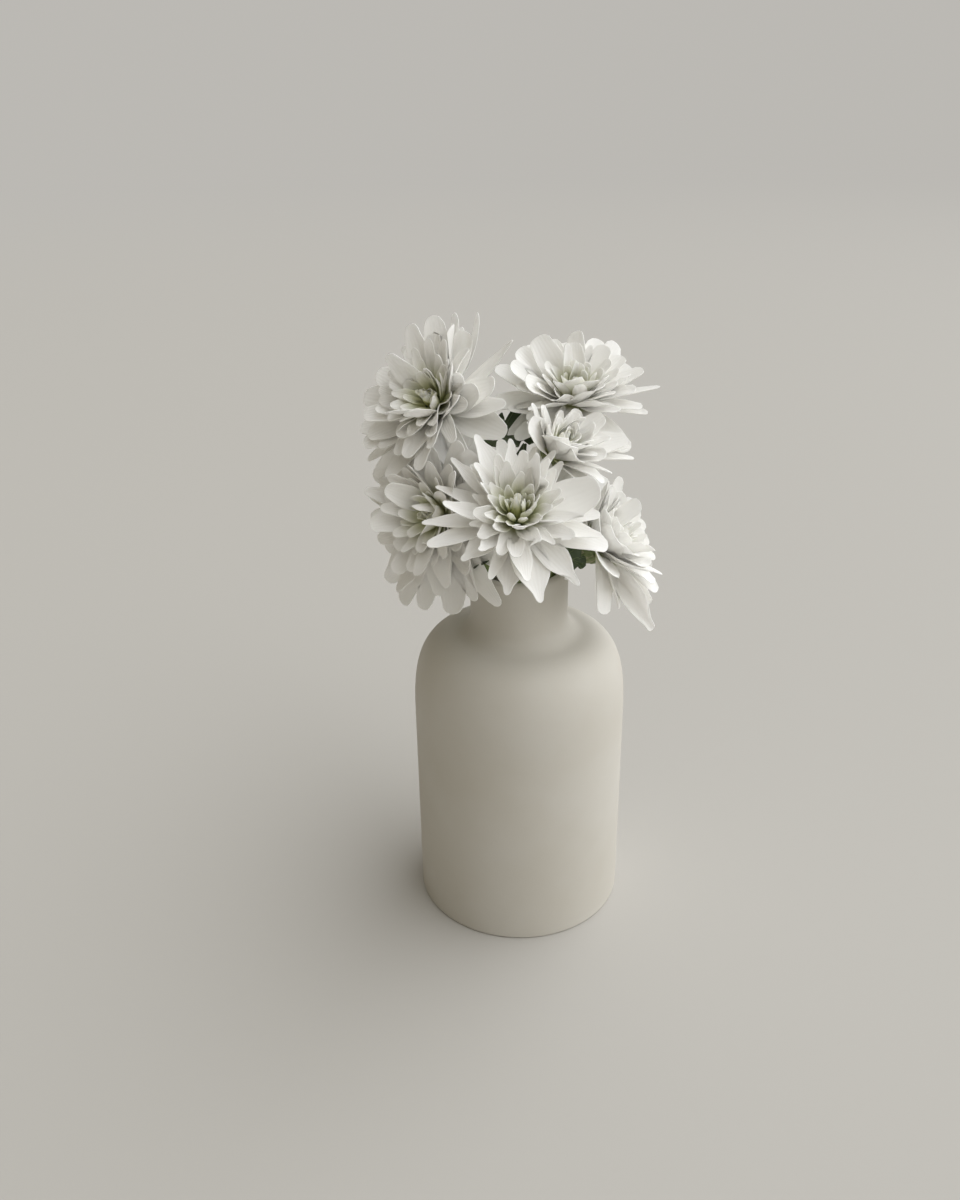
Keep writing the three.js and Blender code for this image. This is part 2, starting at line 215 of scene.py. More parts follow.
# ---- Vase ----
# One thrown and fired pot of off-white clay: straight body, round shoulder, narrow neck and
# a rolled lip, left matt, with the faint rings of the throwing and the fine grain of the clay.

VASE_FACETS = 128
ARC_STEPS = {"foot": 4, "shoulder": 24, "fillet": 10, "lip": 10, "inside": 16, "floor": 4}
VASE_WALL = 0.004
VASE_FLOOR = 0.006
FOOT_ROUNDING = 0.0012
SHOULDER_START = 0.0975
SHOULDER_END = 0.1425
SHOULDER_SQUARENESS = 3.25
SHOULDER_SWEEP = 82  # degrees of the shoulder's curve before the neck's fillet
NECK_RADIUS = 0.0225
NECK_FILLET = 0.009
FILLET_SLOPE = 6  # degrees, the shoulder's slope where the fillet takes over
CLAY = (0.62, 0.595, 0.54, 1)
CLAY_WARM = (0.585, 0.555, 0.49, 1)
CLOUD_EDGES = (0.32, 0.68)  # between which a mottled colour goes from light to dark
RING_STRETCH = (0.02, 0.02, 1)  # draws the throwing rings out round the vase
MERGE_DISTANCE = 1e-6


def arc_points(start, end, steps, point):
    """Points along an arc given in degrees; point turns a cosine and sine into (radius, height)."""
    angles = [math.radians(start + (end - start) * i / steps) for i in range(steps + 1)]
    return [point(math.cos(a), math.sin(a)) for a in angles]


def shoulder_point(neck, body, rise):
    """What turns a cosine and sine into a point of a squarish curve from body to neck."""
    power = 2 / SHOULDER_SQUARENESS
    return lambda c, s: (
        neck + (body - neck) * max(c, 0) ** power,
        SHOULDER_START + rise * max(s, 0) ** power,
    )


def vase_profile(body, height):
    """The vase's half section, from under its foot, up outside, over the lip and down inside."""
    rise = SHOULDER_END - SHOULDER_START
    lip = VASE_WALL / 2
    outside = arc_points(
        0, SHOULDER_SWEEP, ARC_STEPS["shoulder"], shoulder_point(NECK_RADIUS, body, rise)
    )
    fillet_height = outside[-1][1] + NECK_FILLET * math.cos(math.radians(FILLET_SLOPE))
    inside = shoulder_point(NECK_RADIUS - VASE_WALL, body - VASE_WALL, rise - VASE_WALL)
    return (
        [(0, 0)]
        + arc_points(
            -90, 0, ARC_STEPS["foot"],
            lambda c, s: (body + FOOT_ROUNDING * (c - 1), FOOT_ROUNDING * (s + 1)),
        )
        + outside[:-1]
        + arc_points(
            -90 - FILLET_SLOPE, -180, ARC_STEPS["fillet"],
            lambda c, s: (NECK_RADIUS + NECK_FILLET * (c + 1), fillet_height + NECK_FILLET * s),
        )
        + arc_points(
            0, 180, ARC_STEPS["lip"],
            lambda c, s: (NECK_RADIUS - lip + lip * c, height - lip + lip * s),
        )
        + arc_points(90, 0, ARC_STEPS["inside"], inside)
        + arc_points(
            0, -90, ARC_STEPS["floor"],
            lambda c, s: (body - VASE_WALL + VASE_WALL * (c - 1), VASE_FLOOR + VASE_WALL * (s + 1)),
        )
        + [(0, VASE_FLOOR)]
    )


def spin_profile(profile, facets):
    """A closed turned shape about Z from (radius, height) points that start and end on it."""
    shape = bmesh.new()
    rim = [shape.verts.new((r, 0, h)) for r, h in profile]
    edges = [shape.edges.new(pair) for pair in zip(rim, rim[1:])]
    bmesh.ops.spin(
        shape, geom=rim + edges, cent=(0, 0, 0), axis=(0, 0, 1), dvec=(0, 0, 0),
        angle=2 * math.pi, steps=facets, use_merge=True,
    )
    bmesh.ops.remove_doubles(shape, verts=shape.verts, dist=MERGE_DISTANCE)
    bmesh.ops.recalc_face_normals(shape, faces=shape.faces)
    for face in shape.faces:
        face.smooth = True
    return shape


def add_noise(tree, place, scale, detail):
    """Soft random clouds from 0 to 1, the finer the larger their scale."""
    inputs = {"Vector": place, "Scale": scale, "Detail": detail}
    return add_node(tree, "ShaderNodeTexNoise", inputs).outputs["Fac"]


def add_bump(tree, height, strength, distance, invert=False, **under):
    """The normal of a surface raised by a height, on another relief's Normal if it has one."""
    inputs = {"Height": height, "Strength": strength, "Distance": distance, **under}
    return add_node(tree, "ShaderNodeBump", inputs, invert=invert).outputs["Normal"]


def new_group(name, inputs, outputs):
    """A shader node group with its named sockets, and its two end nodes."""
    group = bpy.data.node_groups.new(name, "ShaderNodeTree")
    for label, kind in inputs.items():
        group.interface.new_socket(name=label, in_out="INPUT", socket_type=kind)
    for label, kind in outputs.items():
        group.interface.new_socket(name=label, in_out="OUTPUT", socket_type=kind)
    return group, group.nodes.new("NodeGroupInput").outputs, group.nodes.new("NodeGroupOutput")


mottled, given, result = new_group(
    "mottled",
    {
        "Place": "NodeSocketVector",
        "Scale": "NodeSocketFloat",
        "Light": "NodeSocketColor",
        "Dark": "NodeSocketColor",
    },
    {"Color": "NodeSocketColor"},
)
clouds = add_noise(mottled, given["Place"], given["Scale"], detail=4.0)
cloudy = map_range(mottled, clouds, *CLOUD_EDGES)
mottled.links.new(
    mix_colours(mottled, cloudy, given["Light"], given["Dark"]), result.inputs["Color"]
)


def add_mottle(tree, place, scale, light, dark):
    """Soft patches of a light and a dark colour."""
    inputs = {"Place": place, "Scale": scale, "Light": light, "Dark": dark}
    return add_node(tree, "ShaderNodeGroup", inputs, node_tree=mottled).outputs["Color"]


vase_material, tree, shader = new_material("matt_clay", Roughness=0.62, Specular_IOR_Level=0.35)
place = object_place(tree)
clay_colour = add_mottle(tree, place, scale=22.0, light=CLAY, dark=CLAY_WARM)
tree.links.new(clay_colour, shader.inputs["Base Color"])
drawn_round = add_node(tree, "ShaderNodeMapping", {"Vector": place, "Scale": RING_STRETCH})
rings = add_noise(tree, drawn_round.outputs["Vector"], scale=420.0, detail=2.0)
ringed = add_bump(tree, rings, strength=0.08, distance=0.0006)
clay_grain = add_noise(tree, place, scale=1500.0, detail=3.0)
grained = add_bump(tree, clay_grain, strength=0.16, distance=0.0002, Normal=ringed)
tree.links.new(grained, shader.inputs["Normal"])

_, vase_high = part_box("vase")
vase = new_piece(
    "clay_vase", spin_profile(vase_profile(vase_high.x, vase_high.z), VASE_FACETS), vase_material
)
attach(vase, "root")
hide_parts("vase")


# ---- Stems ----
# Six green stems, ribbed lengthways and cut straight across, that stand on the vase's floor,
# lean together through the neck and bend over the lip into their blooms.

STEM_SIDES = 8  # of the plain stem that gives the way
STEM_RIBS = 6
STEM_RADIUS = 0.0021
RIB_DEPTH = 0.0002
STEM_GREEN = (0.17, 0.23, 0.07, 1)
STEM_PALE = (0.3, 0.36, 0.15, 1)
STEM_IN_CUP = 0.004  # how far a stem runs up inside the cup of its bloom
STEM_ROUNDINGS = 2
FIBRE_STRETCH = (1, 1, 0.12)  # draws the fibres out along the stems

BLOOM_NAMES = sorted(name[: -len("_eye")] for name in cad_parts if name.endswith("_eye"))


def mean_point(points):
    """The middle of some points."""
    return sum(points, Vector()) / len(points)


def node_bmesh(name):
    """A merged copy of one of the model's own nodes."""
    shape = bmesh.new()
    shape.from_mesh(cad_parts[name].data)
    bmesh.ops.remove_doubles(shape, verts=shape.verts, dist=MERGE_DISTANCE)
    return shape


def stem_way(name):
    """The middle of a plain stem from its foot to its bloom, ring of corners by ring."""
    shape = node_bmesh(name)
    ring = set(sorted(shape.verts, key=lambda v: v.co.z)[:STEM_SIDES])
    seen = set(ring)
    way = []
    while ring:
        way.append(mean_point([v.co for v in ring]))
        ring = {edge.other_vert(v) for v in ring for edge in v.link_edges} - seen
        seen |= ring
    shape.free()
    way.append(way[-1] + STEM_IN_CUP * (way[-1] - way[-2]).normalized())
    return way


def stem_shape(way):
    """A ribbed tube drawn along the way, closed at both ends."""
    shape = bmesh.new()
    made = bmesh.ops.create_circle(
        shape, cap_ends=True, segments=2 * STEM_RIBS, radius=STEM_RADIUS
    )
    ring = made["verts"]
    for i, v in enumerate(ring):
        v.co *= 1 - (i % 2) * RIB_DEPTH / STEM_RADIUS
    tangents = [(b - a).normalized() for a, b in zip(way, way[1:])]
    tangents.append(tangents[-1])
    turn = Vector((0, 0, 1)).rotation_difference(tangents[0]).to_matrix().to_4x4()
    bmesh.ops.transform(shape, matrix=Matrix.Translation(way[0]) @ turn, verts=ring)
    end = list(shape.faces)
    for here, there, along, onward in zip(way, way[1:], tangents, tangents[1:]):
        grown = bmesh.ops.extrude_face_region(shape, geom=end)["geom"]
        ring = [g for g in grown if isinstance(g, bmesh.types.BMVert)]
        end = [g for g in grown if isinstance(g, bmesh.types.BMFace)]
        turn = along.rotation_difference(onward).to_matrix().to_4x4()
        move = Matrix.Translation(there) @ turn @ Matrix.Translation(-here)
        bmesh.ops.transform(shape, matrix=move, verts=ring)
    bmesh.ops.recalc_face_normals(shape, faces=shape.faces)
    for face in shape.faces:
        face.smooth = len(face.verts) == 4
    return shape


stem_material, tree, shader = new_material("stem_green", Roughness=0.6)
drawn_out = add_node(
    tree, "ShaderNodeMapping", {"Vector": object_place(tree), "Scale": FIBRE_STRETCH}
).outputs["Vector"]
stem_colour = add_mottle(tree, drawn_out, scale=700.0, light=STEM_PALE, dark=STEM_GREEN)
tree.links.new(stem_colour, shader.inputs["Base Color"])
fibres = add_noise(tree, drawn_out, scale=900.0, detail=3.0)
fibrous = add_bump(tree, fibres, strength=0.4, distance=0.0003)
tree.links.new(fibrous, shader.inputs["Normal"])

stem_ways = {}
for bloom in BLOOM_NAMES:
    stem_ways[bloom] = stem_way(bloom + "_stem")
    stem = new_piece(bloom + "_ribbed_stem", stem_shape(stem_ways[bloom]), stem_material)
    smooth = stem.modifiers.new("rounded", "SUBSURF")
    smooth.levels = smooth.render_levels = STEM_ROUNDINGS
    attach(stem, "root")
    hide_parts(bloom + "_stem")


# ---- Leaves ----
# Thirteen lobed leaves on the stems: dark satin green, folded a little along the midrib, with
# paler sunken veins that run out into the rounded and toothed lobes.

LEAF_NAMES = sorted(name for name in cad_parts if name.startswith("leaf_"))
LEAF_ARC = math.radians(35)  # how far a leaf bends over from foot to tip
LEAF_CELLS = (10, 44)  # across and along
LEAF_THICKNESS = 0.0004
RIM_CORNER = math.radians(50)  # edges of a thin blade that turn more than this stay crisp
# Shares of the leaf's length.
LEAF_STALK = 0.022  # half the stalk's width
BLADE_START = 0.2
BLADE_BREADTH = 0.33  # of one half
BLADE_RIPPLE = 0.012
EDGE_DROOP = 0.1  # how much further on in their bend the edges are than the midrib
VEINS_FORWARD = 0.16  # how far the side veins lean towards the tip
# Its lobes, and shares of the breadth of one half of the blade.
LEAF_LOBES = 3  # pairs, with a last one at the tip
LEAF_FOLD = 0.28
LOBE_GAP = 0.34  # how far the blade reaches between two lobes
LOBE_FORWARD = 0.36  # how far the lobes lean towards the tip
LOBE_TEETH = 3
TOOTH_DEPTH = 0.045
MIDRIB_EDGE = 0.07
VEINS_PER_LOBE = 2.5
VEIN_EDGE = 0.93  # how high a wave across the leaf has to be to show as a vein
LEAF_GREEN = (0.024, 0.04, 0.011, 1)
LEAF_PALE = (0.04, 0.062, 0.02, 1)
LEAF_VEIN = (0.1, 0.135, 0.048, 1)


def blade_grid(shape, cells):
    """A flat grid in the shape, with its vertices and each one's share across and along."""
    made = bmesh.ops.create_grid(shape, x_segments=cells[0], y_segments=cells[1], size=1)
    verts = made["verts"]
    across = np.array([v.co.x for v in verts])
    along = np.array([(v.co.y + 1) / 2 for v in verts])
    return verts, across, along


def blade_to_shell(shape, thickness):
    """Gives thin blades their thickness, soft on the faces and crisp along the rim."""
    bmesh.ops.solidify(shape, geom=shape.faces, thickness=thickness)
    for face in shape.faces:
        face.smooth = True
    for edge in shape.edges:
        edge.smooth = edge.calc_face_angle(0) < RIM_CORNER


def leaf_half_width(along):
    """The lobed outline as a share of the length: a stalk, then pairs of round lobes."""
    blade = np.clip((along - BLADE_START) / (1 - BLADE_START), 0, 1)
    spread = np.sin(math.pi * blade**0.8) ** 0.6
    turns = 2 * math.pi * (LEAF_LOBES + 0.5) * blade
    lobes = LOBE_GAP + (1 - LOBE_GAP) * np.abs(np.sin(turns / 2)) ** 0.65
    teeth = 1 + TOOTH_DEPTH * np.cos(LOBE_TEETH * turns)
    return LEAF_STALK + BLADE_BREADTH * spread * lobes * teeth


def leaf_shape(points, stem_points):
    """A detailed leaf in the place of a plain one, from its foot at the stem to its tip."""
    foot_corner = min(points, key=lambda p: min((p - s).length for s in stem_points))
    foot = min(stem_points, key=lambda s: (s - foot_corner).length)
    tip = max(points, key=lambda p: (p - foot).length)
    chord = (tip - foot).normalized()
    spread = [(p - foot) - chord * (p - foot).dot(chord) for p in points]
    side = max(spread, key=lambda v: v.length).normalized()
    up = chord.cross(side).normalized()
    if up.z < 0:
        up = -up
    side = up.cross(chord)
    length = (tip - foot).length * (LEAF_ARC / 2) / math.sin(LEAF_ARC / 2)
    shape = bmesh.new()
    blade = shape.verts.layers.float_vector.new("blade")
    verts, across, along = blade_grid(shape, LEAF_CELLS)
    bent = along + EDGE_DROOP * np.abs(across) * along * (1 - along)
    angle = LEAF_ARC / 2 - LEAF_ARC * bent
    half = leaf_half_width(along) * length
    out = np.abs(across) ** 1.1 * half
    x = length * (math.sin(LEAF_ARC / 2) - np.sin(angle)) / LEAF_ARC
    z = length * (np.cos(angle) - math.cos(LEAF_ARC / 2)) / LEAF_ARC + LEAF_FOLD * out
    z += BLADE_RIPPLE * length * np.sin(9 * along + 2 * across) * np.abs(across)
    x += LOBE_FORWARD * (out - np.abs(across) * LEAF_STALK * length) * (1 - along**4)
    for v, u, t, px, py, pz in zip(verts, across, along, x, np.sign(across) * out, z):
        v.co = foot + chord * px + side * py + up * pz
        v[blade] = (u, t, 0)
    blade_to_shell(shape, LEAF_THICKNESS)
    return shape


def add_math(tree, operation, *values):
    """The result of a sum on numbers or other nodes' outputs."""
    inputs = dict(enumerate(values))
    return add_node(tree, "ShaderNodeMath", inputs, operation=operation).outputs[0]


def blade_place(tree):
    """A point's place on its blade: as one vector, then its shares across, along and inwards."""
    whole = add_node(tree, "ShaderNodeAttribute", attribute_name="blade").outputs["Vector"]
    return whole, *add_node(tree, "ShaderNodeSeparateXYZ", {"Vector": whole}).outputs


leaf_material, tree, shader = new_material("leaf_green", Roughness=0.5, Specular_IOR_Level=0.35)
_, across, along, _ = blade_place(tree)
from_midrib = add_math(tree, "ABSOLUTE", across)
forward = add_math(tree, "MULTIPLY_ADD", from_midrib, -VEINS_FORWARD, along)
side_veins = add_math(tree, "MULTIPLY", forward, 2 * math.pi * VEINS_PER_LOBE * LEAF_LOBES)
vein_lines = map_range(tree, add_math(tree, "COSINE", side_veins), VEIN_EDGE, 1.0)
midrib = map_range(tree, from_midrib, MIDRIB_EDGE, 0.0)
veins = add_math(tree, "MAXIMUM", vein_lines, midrib)
leaf_place = object_place(tree)
leaf_flesh = add_mottle(tree, leaf_place, scale=160.0, light=LEAF_PALE, dark=LEAF_GREEN)
leaf_colour = mix_colours(tree, veins, leaf_flesh, LEAF_VEIN)
tree.links.new(leaf_colour, shader.inputs["Base Color"])
sunk_veins = add_bump(tree, veins, strength=0.5, distance=0.0004, invert=True)
tree.links.new(sunk_veins, shader.inputs["Normal"])

stem_points = [point for way in stem_ways.values() for point in way]
for name in LEAF_NAMES:
    plain = node_bmesh(name)
    shape = leaf_shape([v.co.copy() for v in plain.verts], stem_points)
    plain.free()
    leaf = new_piece(name.replace("leaf", "lobed_leaf"), shape, leaf_material)
    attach(leaf, "root")
    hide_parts(name)


# ---- Calyces ----
# The green cup under each bloom: a fleshy base on the end of the stem that swells into the
# dome which carries the petals, wrapped in three rows of small overlapping scales.

# Sizes of a bloom of size 1, from the middle of the cup's mouth, as (radius, height).
CALYX_RADIUS = 0.0078
CALYX_UNDERSIDE = 0.009
CALYX_PROFILE = [
    (0, -0.009), (0.0025, -0.009), (0.0044, -0.007), (0.0064, -0.0042), (0.007, -0.0015),
    (0.0064, 0.0006), (0.0052, 0.0034), (0.0034, 0.0054), (0, 0.0062),
]
CALYX_FACETS = 24
SCALE_CELLS = (4, 5)  # across and along
SCALE_THICKNESS = 0.0003
SCALE_MARGIN = 0.55  # where the papery edge of a scale starts, as a share from its middle
SCALE_ROWS = [
    {"scales": 10, "root": 0.0045, "height": -0.0074, "lift": 48, "curl": 30, "length": 0.005},
    {"scales": 13, "root": 0.0064, "height": -0.0052, "lift": 68, "curl": 18, "length": 0.0048},
    {"scales": 16, "root": 0.0071, "height": -0.0034, "lift": 82, "curl": 6, "length": 0.0036},
]
SCALE_WIDTH = 0.0036
SCALE_GREEN = (0.1, 0.15, 0.04, 1)
SCALE_PALE = (0.3, 0.34, 0.16, 1)
SCALE_EDGE = (0.45, 0.42, 0.28, 1)
# How every thin blade of a bloom is drawn, in shares of its length or of half its width.
CURVE_STEPS = 24  # along its bend
TIP_CLOSENESS = 1.3  # the power that brings its vertices closer together near the tip
END_ROUNDNESS = 0.97
FULL_WIDTH_FROM = 0.5
NARROWS_FROM = 0.55
KEEL_HEIGHT = 0.05  # of the folds that run along it, highest at its foot
FLAT_BLADE = {"hook": 0, "ruffle": 0, "phase": 0, "roll": 0, "twist": 0, "sway": 0}


def bloom_place(name):
    """A bloom's own frame and its size: +Z out of its face, +X down its face."""
    eye = [v.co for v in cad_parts[name + "_eye"].data.vertices]
    calyx = [v.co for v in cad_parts[name + "_calyx"].data.vertices]
    middle = mean_point(calyx)
    axis = (mean_point(eye) - middle).normalized()
    heights = [(p - middle).dot(axis) for p in calyx]
    spreads = [((p - middle) - axis * (p - middle).dot(axis)).length for p in calyx]
    size = max(spreads) / CALYX_RADIUS
    centre = middle + axis * (min(heights) + CALYX_UNDERSIDE * size)
    down = (Vector((0, 0, -1)) + axis * axis.z).normalized()
    side = axis.cross(down)
    turn = Matrix((down, side, axis)).transposed().to_4x4()
    return Matrix.Translation(centre) @ turn @ Matrix.Scale(size, 4)


def between(ends, share):
    """The number at a share of the way from one end to the other."""
    return ends[0] + (ends[1] - ends[0]) * share


def smooth_step(values):
    """Goes softly from 0 to 1 as the values do, and holds beyond."""
    clipped = np.clip(values, 0, 1)
    return clipped * clipped * (3 - 2 * clipped)


def blade_template(cells):
    """A blade's vertices as shares across and along it, closer near the tip, and its faces."""
    flat = bmesh.new()
    _, across, along = blade_grid(flat, cells)
    faces = [[v.index for v in face.verts] for face in flat.faces]
    flat.free()
    return across, 1 - (1 - along) ** TIP_CLOSENESS, faces


def blade_points(blade, template):
    """A blade's vertices in its bloom's frame: bent along its length and cupped across it."""
    across, along, _ = template
    steps = np.linspace(0, 1, CURVE_STEPS)
    angles = blade["lift"] + blade["curl"] * steps + blade["hook"] * steps**4
    midway = (angles[1:] + angles[:-1]) / 2
    pace = blade["length"] / (CURVE_STEPS - 1)
    runs = np.concatenate(([0], np.cumsum(np.cos(midway)) * pace))
    climbs = np.concatenate(([0], np.cumsum(np.sin(midway)) * pace))
    round_end = 1 - np.sqrt(1 - END_ROUNDNESS * across**2)
    reach = along - blade["point"] * round_end * along**6
    angle = np.interp(reach, steps, angles)
    growth = blade["claw"] + (1 - blade["claw"]) * smooth_step(along / FULL_WIDTH_FROM)
    past_widest = smooth_step((along - NARROWS_FROM) / (1 - NARROWS_FROM))
    narrowing = 1 - blade["taper"] * past_widest
    half = blade["width"] / 2 * growth * narrowing
    bow = blade["cup"] + (blade["cup_at_tip"] - blade["cup"]) * along
    aside = half * np.sin(bow * across) / bow
    above = half * (1 - np.cos(bow * across)) / bow
    above += KEEL_HEIGHT * half * np.cos(3 * math.pi * across) * (1 - along)
    above += blade["ruffle"] * half * across * np.sin(5 * along + blade["phase"])
    twist = blade["roll"] + blade["twist"] * along
    aside, above = (
        aside * np.cos(twist) - above * np.sin(twist),
        aside * np.sin(twist) + above * np.cos(twist),
    )
    out = blade["root"] + np.interp(reach, steps, runs) - above * np.sin(angle)
    up = blade["height"] + np.interp(reach, steps, climbs) + above * np.cos(angle)
    aside = aside + blade["sway"] * blade["length"] * along**2
    c, s = math.cos(blade["azimuth"]), math.sin(blade["azimuth"])
    return np.stack([out * c - aside * s, out * s + aside * c, up], axis=1)


def placed_points(blade, bloom, template):
    """The same vertices in the model's frame."""
    place = np.array(bloom_places[bloom])
    return blade_points(blade, template) @ place[:3, :3].T + place[:3, 3]


def blades_shape(blades, bloom, cells, thickness):
    """Thin blades with, at each vertex, what their colours follow."""
    template = blade_template(cells)
    shape = bmesh.new()
    blade_layer = shape.verts.layers.float_vector.new("blade")
    tint_layer = shape.verts.layers.float.new("tint")
    for blade in blades:
        points = placed_points(blade, bloom, template)
        verts, _, _ = blade_grid(shape, cells)
        for v, point, u, t in zip(verts, points, template[0], template[1]):
            v.co = point
            v[blade_layer] = (u, t, blade["share"])
            v[tint_layer] = blade["tint"]
    blade_to_shell(shape, thickness)
    return shape


def join_shape(shape, other, matrix):
    """Moves another shape to its place and adds it."""
    bmesh.ops.transform(other, matrix=matrix, verts=other.verts)
    carrier = bpy.data.meshes.new("carrier")
    other.to_mesh(carrier)
    other.free()
    shape.from_mesh(carrier)
    bpy.data.meshes.remove(carrier)


def calyx_scales():
    """The scales of one cup, row by row from its stem."""
    for row, sizes in enumerate(SCALE_ROWS):
        for i in range(sizes["scales"]):
            yield {
                **FLAT_BLADE,
                "share": row / 2,
                "azimuth": 2 * math.pi * (i + row / 2) / sizes["scales"],
                "root": sizes["root"],
                "height": sizes["height"],
                "lift": math.radians(sizes["lift"]),
                "curl": math.radians(sizes["curl"]),
                "length": sizes["length"],
                "width": SCALE_WIDTH,
                "claw": 0.8,
                "taper": 0.6,
                "point": 0.25,
                "cup": 0.8,
                "cup_at_tip": 0.6,
                "tint": (i * 0.618 + row * 0.37) % 1,
            }


lengthwise_lines, given, result = new_group(
    "lengthwise_lines",
    {"Blade": "NodeSocketVector", "Lines": "NodeSocketFloat"},
    {"Height": "NodeSocketFloat"},
)
blade_parts = add_node(lengthwise_lines, "ShaderNodeSeparateXYZ", {"Vector": given["Blade"]})
line_turns = add_math(lengthwise_lines, "MULTIPLY", blade_parts.outputs["X"], given["Lines"])
line_wave = add_math(lengthwise_lines, "COSINE", line_turns)
uneven = add_noise(lengthwise_lines, given["Blade"], scale=6.0, detail=2.0)
line_height = add_math(lengthwise_lines, "MULTIPLY", line_wave, uneven)
lengthwise_lines.links.new(line_height, result.inputs["Height"])


def add_lines(tree, shader, blade, lines, strength):
    """Raises fine lines along a blade."""
    raised = add_node(
        tree, "ShaderNodeGroup", {"Blade": blade, "Lines": lines}, node_tree=lengthwise_lines
    )
    relief = add_bump(tree, raised.outputs["Height"], strength, distance=0.0002)
    tree.links.new(relief, shader.inputs["Normal"])


calyx_material, tree, shader = new_material("calyx_green", Roughness=0.55)
on_scale, across, _, _ = blade_place(tree)
papery = map_range(tree, add_math(tree, "ABSOLUTE", across), SCALE_MARGIN, 1.0)
scale_place = object_place(tree)
scale_flesh = add_mottle(tree, scale_place, scale=300.0, light=SCALE_PALE, dark=SCALE_GREEN)
scale_colour = mix_colours(tree, papery, scale_flesh, SCALE_EDGE)
tree.links.new(scale_colour, shader.inputs["Base Color"])
add_lines(tree, shader, on_scale, lines=14.0, strength=0.5)

bloom_places = {bloom: bloom_place(bloom) for bloom in BLOOM_NAMES}
for bloom in BLOOM_NAMES:
    shape = blades_shape(calyx_scales(), bloom, SCALE_CELLS, SCALE_THICKNESS)
    join_shape(shape, spin_profile(CALYX_PROFILE, CALYX_FACETS), bloom_places[bloom])
    calyx = new_piece(bloom + "_scaly_calyx", shape, calyx_material)
    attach(calyx, "root")
    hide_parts(bloom + "_calyx")


# ---- Eyes ----
# The heart of each bloom, a green hollow: a low disc of unopened buds, ringed by small florets
# like fingers, green at the foot, whose blunt pale tips bend in over the middle.

DISC_PROFILE = [
    (0, 0.0058), (0.0029, 0.0058), (0.0031, 0.0066), (0.0026, 0.0075), (0.0014, 0.008), (0, 0.0082),
]
BUDS = 34
BUD_RADIUS = 0.00045
BUD_FACES = (6, 4)  # round it and from pole to pole
BUD_SPREAD = 0.92  # how far out the last bud lies, as a share of the disc's radius
FLORETS = 34
FLORET_LEAN = 28  # degrees that the lowest ones lean further over the disc
FLORET_HEIGHTS = (0.92, 0.38)  # of one at the side, and what the lowest adds and the top lacks
HEART_HEIGHTS = {  # as a share of the front bloom's
    "front_bloom": 1,
    "right_small_bloom": 0.9,
    "upper_left_bloom": 0.62,
    "upper_right_bloom": 0.62,
    "lower_left_bloom": 0.62,
    "lower_right_bloom": 0.8,
}
FLORET_CELLS = (4, 6)  # across and along
FLORET_THICKNESS = 0.0003
HEART_TONES = [  # green, yellow and cream, by the share along a floret
    (0, (0.16, 0.17, 0.045, 1)),
    (0.4, (0.52, 0.54, 0.24, 1)),
    (0.75, (0.9, 0.9, 0.8, 1)),
]
GOLDEN_TURN = math.radians(137.508)


def heart_florets(seed, tallness):
    """The florets of one heart, taller and leaning further over its disc on its lower side."""
    chance = random.Random(seed)
    for i in range(FLORETS):
        share = i / (FLORETS - 1)
        azimuth = i * GOLDEN_TURN
        lower = math.cos(azimuth)
        lean = FLORET_LEAN * max(lower, 0)
        height = tallness * (FLORET_HEIGHTS[0] + FLORET_HEIGHTS[1] * lower)
        yield {
            **FLAT_BLADE,
            "share": 1,
            "azimuth": azimuth,
            "root": between((0.0036, 0.0022), share),
            "height": between((0.0062, 0.0074), share),
            "lift": math.radians(between((74, 86), share) + lean + chance.gauss(0, 4)),
            "curl": math.radians(between((12, 36), share) + chance.gauss(0, 7)),
            "hook": math.radians(chance.gauss(10, 12)),
            "length": height * between((0.011, 0.006), share) * chance.uniform(0.87, 1.13),
            "width": between((0.003, 0.0024), share) * chance.uniform(0.85, 1.15),
            "claw": 0.6,
            "taper": 0.2,
            "point": 0.14,
            "cup": 1.7,
            "cup_at_tip": 1.1,
            "roll": math.radians(chance.gauss(0, 8)),
            "twist": math.radians(chance.gauss(0, 10)),
            "sway": chance.gauss(0, 0.06),
            "tint": chance.random(),
        }


def add_buds(shape):
    """Unopened buds set in a spiral on the disc."""
    low, high = DISC_PROFILE[2], DISC_PROFILE[-1]
    for i in range(BUDS):
        out = math.sqrt((i + 0.5) / BUDS)
        turn = Matrix.Rotation(i * GOLDEN_TURN, 4, "Z")
        height = between((high[1], low[1]), out**3)
        place = turn @ Matrix.Translation((low[0] * out * BUD_SPREAD, 0, height))
        bmesh.ops.create_uvsphere(
            shape, u_segments=BUD_FACES[0], v_segments=BUD_FACES[1], radius=BUD_RADIUS, matrix=place
        )


heart_material, tree, shader = new_material(
    "heart_green",
    Roughness=0.5,
    Subsurface_Weight=0.5,
    Subsurface_Scale=0.001,
    Subsurface_Radius=(1, 0.95, 0.7),
)
on_floret, _, along, _ = blade_place(tree)
tree.links.new(add_ramp(tree, along, HEART_TONES), shader.inputs["Base Color"])
add_lines(tree, shader, on_floret, lines=9.0, strength=0.3)

for index, bloom in enumerate(BLOOM_NAMES):
    shape = blades_shape(
        heart_florets(index, HEART_HEIGHTS[bloom]), bloom, FLORET_CELLS, FLORET_THICKNESS
    )
    disc = spin_profile(DISC_PROFILE, CALYX_FACETS)
    add_buds(disc)
    join_shape(shape, disc, bloom_places[bloom])
    heart = new_piece(bloom + "_green_heart", shape, heart_material)
    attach(heart, "root")
    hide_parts(bloom + "_eye")


# ---- Petals ----
# Each bloom carries fifty to ninety thin white petals on its dome, each one turned by the same
# angle from the last: long and spread at the back, short and upright round the heart.

